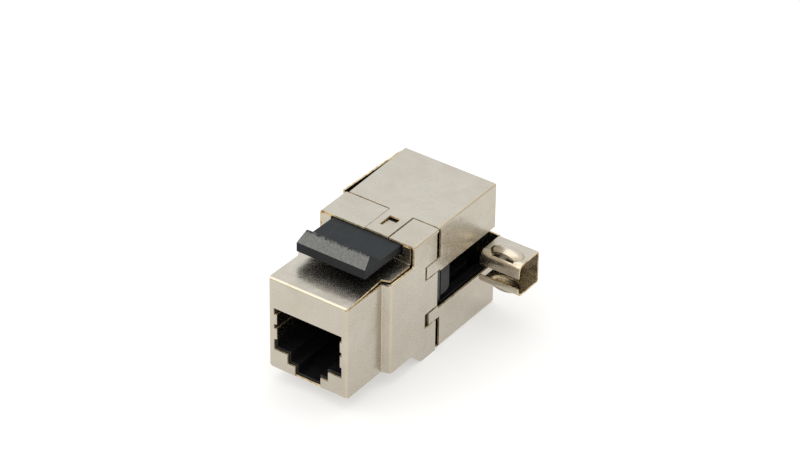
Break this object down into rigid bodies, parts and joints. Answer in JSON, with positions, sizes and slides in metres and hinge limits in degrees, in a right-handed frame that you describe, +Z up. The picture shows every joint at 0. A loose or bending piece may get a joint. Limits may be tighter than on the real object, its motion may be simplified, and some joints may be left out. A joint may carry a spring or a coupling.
{
  "type": "shielded keystone jack",
  "caption": "Shielded keystone jack: folded nickel shell with a modular port and snap latch, a rear cover with a side cable slot, and a channel arm for a cable tie.",
  "frame": {"origin": "centre of the flat underside of the rear cover", "axes": "+Y runs from the port to the cable end, +Z up towards the latch, x = 0 on the middle plane of the port, +X towards the cable tie arm"},
  "size_m": [0.026, 0.0369, 0.0236],
  "materials": {
    "nickel_sheet": "satin nickel over folded brass sheet",
    "black_plastic": "moulded, fine matt",
    "grey_black_plastic": "moulded, satin, scuffed on the crest",
    "board": "solder resist",
    "gilt_wire": "gold plated",
    "tinned_blade": "tin plated"
  },
  "bodies": {
    "jack": {"front_shell": "nickel_sheet", "port_housing": "black_plastic", "contact_carrier": "black_plastic", "circuit_board": "board", "idc_block_upper": "black_plastic", "idc_block_lower": "black_plastic", "contact_spring_1": "gilt_wire", "contact_spring_2": "gilt_wire", "contact_spring_3": "gilt_wire", "contact_spring_4": "gilt_wire", "contact_spring_5": "gilt_wire", "contact_spring_6": "gilt_wire", "contact_spring_7": "gilt_wire", "contact_spring_8": "gilt_wire", "idc_contact_1": "tinned_blade", "idc_contact_2": "tinned_blade", "idc_contact_3": "tinned_blade", "idc_contact_4": "tinned_blade", "idc_contact_5": "tinned_blade", "idc_contact_6": "tinned_blade", "idc_contact_7": "tinned_blade", "idc_contact_8": "tinned_blade"},
    "latch": {"latch": "grey_black_plastic"},
    "rear_cover": {"rear_cover": "nickel_sheet"}
  },
  "joints": [
    {"name": "latch_flex", "type": "hinge", "parent": "jack", "child": "latch", "pos_m": [0, -0.01303, 0.0211], "axis": [1, 0, 0], "range_deg": [0, 8.5], "stiffness_Nm_per_rad": 0.4},
    {"name": "cover_slide", "type": "slide", "parent": "jack", "child": "rear_cover", "axis": [0, 1, 0], "range_m": [0, 0.016]}
  ]
}
